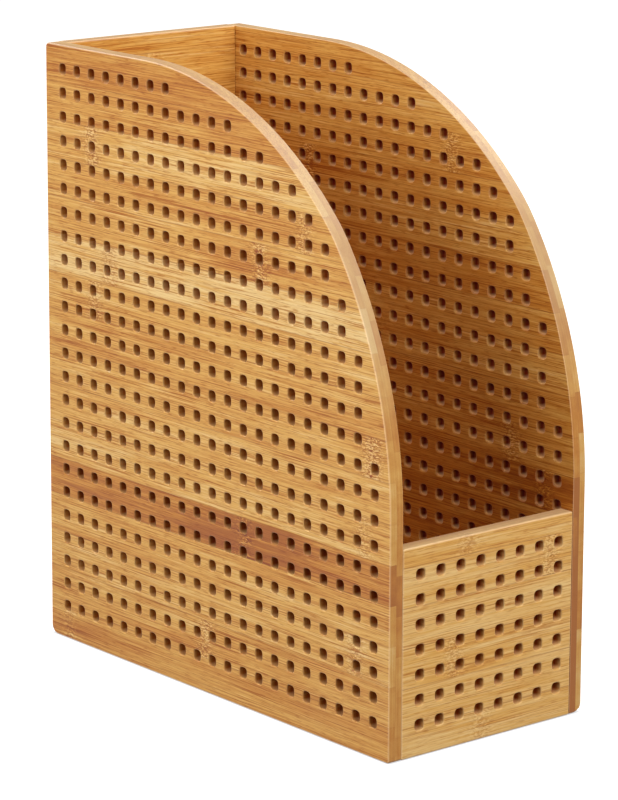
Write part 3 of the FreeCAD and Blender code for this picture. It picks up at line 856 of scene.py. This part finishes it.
right = side_board("right_side", 1, is_worn=True)
finish_piece(right, bamboo_right, "bamboo_sides", "right_side_panel")

front = front_board("front")
finish_piece(front, bamboo_front, "bamboo_front", "front_panel")

back_low, back_high = corners("back_panel")
back = bar_board("back", back_low.yz, back_high.yz, BACK_RADII, broad_axis=0)
finish_piece(back, [bamboo_back], "bamboo_back", "back_panel")

base_low, base_high = corners("base_panel")
base = bar_board("base", base_low.yz, base_high.yz, BASE_RADII, broad_axis=1)
finish_piece(base, [bamboo_base], "bamboo_base", "base_panel")


PIN_RINGS = (18, 0.7, 0.7)       # lengths of the features, mm
PIN_PORES = (3.0, 0.25, 0.25)
PIN_DARK = linear(196, 156, 108)
PIN_PALE = linear(226, 196, 152)
PORE_TINT = linear(190, 150, 110)
PORE_EDGE = (0.58, 0.72)
PORE_SHARE = 0.4
PIN_RELIEF = 0.1 * MM


def dowel_wood():
    """Turned hardwood, pale, with fine grain along the pin."""
    w = Wiring("dowel_wood")
    place = w.node("ShaderNodeTexCoord").outputs["Object"]
    metres = w.node("ShaderNodeSeparateXYZ", ((0, place),)).outputs
    spot = [w.times(value, TO_MM) for value in metres]
    rings = w.noise(spot, PIN_RINGS, detail=3.0)
    pores = w.ease(w.noise(spot, PIN_PORES, detail=1.0), *PORE_EDGE)
    colour = w.tint(rings, PIN_DARK, PIN_PALE)
    colour = w.tint(w.times(pores, PORE_SHARE), colour, PORE_TINT, "MULTIPLY")
    bump = w.node("ShaderNodeBump", (("Strength", 0.3), ("Distance", PIN_RELIEF), ("Height", rings)))
    shader = w.node("ShaderNodeBsdfPrincipled", (
        ("Base Color", colour),
        ("Roughness", w.add(0.55, w.times(pores, 0.1))),
        ("Normal", bump.outputs[0]),
    ))
    return w.finish(shader)


pin_material = dowel_wood()
for name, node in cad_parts.items():
    if "dowel" in name:
        node.data.materials.clear()
        node.data.materials.append(pin_material)


# ---------------------------------------------------------------- floor, light and camera

CONTACT_INSET = 1.5 * MM         # the shade starts this far inside the holder's outline
CONTACT_REACH = 3.5 * MM
CONTACT_GLOW = 0.55              # the floor's own light in the shade, and away from it
FLOOR_GLOW = 0.98
FLOOR_HALF = 12.0
FLOOR_DROP = 0.2 * MM            # keeps the floor clear of the holder's underside
FLOOR_GREY = (0.25, 0.25, 0.25, 1.0)
WHITE = (1.0, 1.0, 1.0)


def stage_floor():
    """A white floor, lit from within but for a thin shade where the holder stands on it."""
    mesh = bpy.data.meshes.new("floor")
    spots = [(x * FLOOR_HALF, y * FLOOR_HALF, 0) for x, y in ((-1, -1), (1, -1), (1, 1), (-1, 1))]
    mesh.from_pydata(spots, [], [(0, 1, 2, 3)])
    made = bpy.data.objects.new("floor", mesh)
    made.location.z = -FLOOR_DROP
    made.visible_diffuse = False
    bpy.context.scene.collection.objects.link(made)
    w = Wiring("pale_floor")
    place = w.node("ShaderNodeTexCoord").outputs["Object"]
    metres = w.node("ShaderNodeSeparateXYZ", ((0, place),)).outputs
    gaps = []
    for axis, reach in ((0, HALF_WIDTH), (1, REAR_Y)):
        gap = w.add(w.math("ABSOLUTE", metres[axis]), CONTACT_INSET - reach)
        gaps.append(w.math("MAXIMUM", gap, 0.0))
    gap = w.math("SQRT", w.add(w.times(gaps[0], gaps[0]), w.times(gaps[1], gaps[1])))
    shader = w.node("ShaderNodeBsdfPrincipled", (
        ("Base Color", FLOOR_GREY),
        ("Roughness", 0.8),
        ("Specular IOR Level", 0.0),
        ("Emission Color", (*WHITE, 1.0)),
        ("Emission Strength", w.ease(gap, 0.0, CONTACT_REACH, CONTACT_GLOW, FLOOR_GLOW)),
    ))
    mesh.materials.append(w.finish(shader))


WARM = (1.0, 0.58, 0.30)
WORLD_STOPS = (0.42, 0.55, 1.0)  # below the horizon, just above it, and the zenith: 0.5 is level


def studio_world(below, horizon, zenith):
    """Dim warm light from all round the object, as a room gives it off."""
    world = bpy.data.worlds.new("studio")
    world.use_nodes = True
    tree = world.node_tree
    direction = tree.nodes.new("ShaderNodeTexCoord").outputs["Generated"]
    split = tree.nodes.new("ShaderNodeSeparateXYZ")
    ramp = tree.nodes.new("ShaderNodeValToRGB")
    tree.links.new(direction, split.inputs[0])
    shift = tree.nodes.new("ShaderNodeMath")
    shift.operation = "MULTIPLY_ADD"
    shift.inputs[1].default_value = 0.5
    shift.inputs[2].default_value = 0.5
    tree.links.new(split.outputs[2], shift.inputs[0])
    tree.links.new(shift.outputs[0], ramp.inputs[0])
    elements = ramp.color_ramp.elements
    elements.new(0.5)
    for element, position, value in zip(elements, WORLD_STOPS, (below, horizon, zenith)):
        element.position = position
        element.color = (*(value * part for part in WARM), 1.0)
    background = tree.nodes["Background"]
    tree.links.new(ramp.outputs[0], background.inputs[0])
    background.inputs[1].default_value = 1.0
    return world


def softbox(name, azimuth, elevation, distance, side, watts, colour=WHITE):
    """A square light facing the object; azimuth 0 is in front of it and -90 on its left."""
    turn, tilt = math.radians(azimuth), math.radians(elevation)
    direction = Vector((math.sin(turn) * math.cos(tilt), -math.cos(turn) * math.cos(tilt), math.sin(tilt)))
    data = bpy.data.lights.new(name, "AREA")
    data.shape = "SQUARE"
    data.size = side
    data.energy = watts
    data.color = colour
    made = bpy.data.objects.new(name, data)
    made.location = Vector((0, 0, HEIGHT / 2)) + direction * distance
    made.rotation_mode = "QUATERNION"
    made.rotation_quaternion = (-direction).to_track_quat("-Z", "Y")
    bpy.context.scene.collection.objects.link(made)


stage_floor()
centre = Vector((0, 0, HEIGHT / 2))
scene = bpy.context.scene
scene.view_settings.view_transform = "Standard"
scene.view_settings.look = "None"
scene.view_settings.exposure = 0.0
scene.view_settings.gamma = 1.0

scene.world = studio_world(below=0.05, horizon=0.12, zenith=0.10)

COOL_WHITE = (0.95, 1.0, 1.07)
softbox("left_box", azimuth=-90, elevation=18, distance=0.95, side=0.8, watts=8.6, colour=COOL_WHITE)
softbox("front_box", azimuth=2, elevation=34, distance=1.8, side=1.1, watts=30)
softbox("top_box", azimuth=0, elevation=86, distance=2.0, side=1.0, watts=6)
softbox("right_box", azimuth=96, elevation=34, distance=2.2, side=1.2, watts=34)
softbox("rear_box", azimuth=-172, elevation=32, distance=2.2, side=1.2, watts=28)

AZIMUTH = math.radians(39.65)
ELEVATION = math.radians(12.02)
ROLL = math.radians(0.239)
DISTANCE = 1.711
AIM_RIGHT = 0.0001               # from the holder's middle, in the picture's own directions
AIM_UP = 0.0283
LENS = 160.4                     # mm
SENSOR = 36.0                    # mm
SHIFT = -0.11
NEAR = 0.05
FAR = 60.0

forward = Vector((
    math.sin(AZIMUTH) * math.cos(ELEVATION),
    math.cos(AZIMUTH) * math.cos(ELEVATION),
    -math.sin(ELEVATION),
))
level = forward.cross(Vector((0, 0, 1))).normalized()
upright = level.cross(forward)
aim = centre + AIM_RIGHT * level + AIM_UP * upright
sideways = level * math.cos(ROLL) + upright * math.sin(ROLL)
upwards = upright * math.cos(ROLL) - level * math.sin(ROLL)

camera_data = bpy.data.cameras.new("camera")
camera_data.lens = LENS
camera_data.sensor_width = SENSOR
camera_data.sensor_fit = "AUTO"
camera_data.shift_y = SHIFT
camera_data.clip_start = NEAR
camera_data.clip_end = FAR
camera = bpy.data.objects.new("camera", camera_data)
camera.location = aim - DISTANCE * forward
camera.rotation_mode = "QUATERNION"
camera.rotation_quaternion = Matrix((sideways, upwards, -forward)).transposed().to_quaternion()
scene.collection.objects.link(camera)
scene.camera = camera
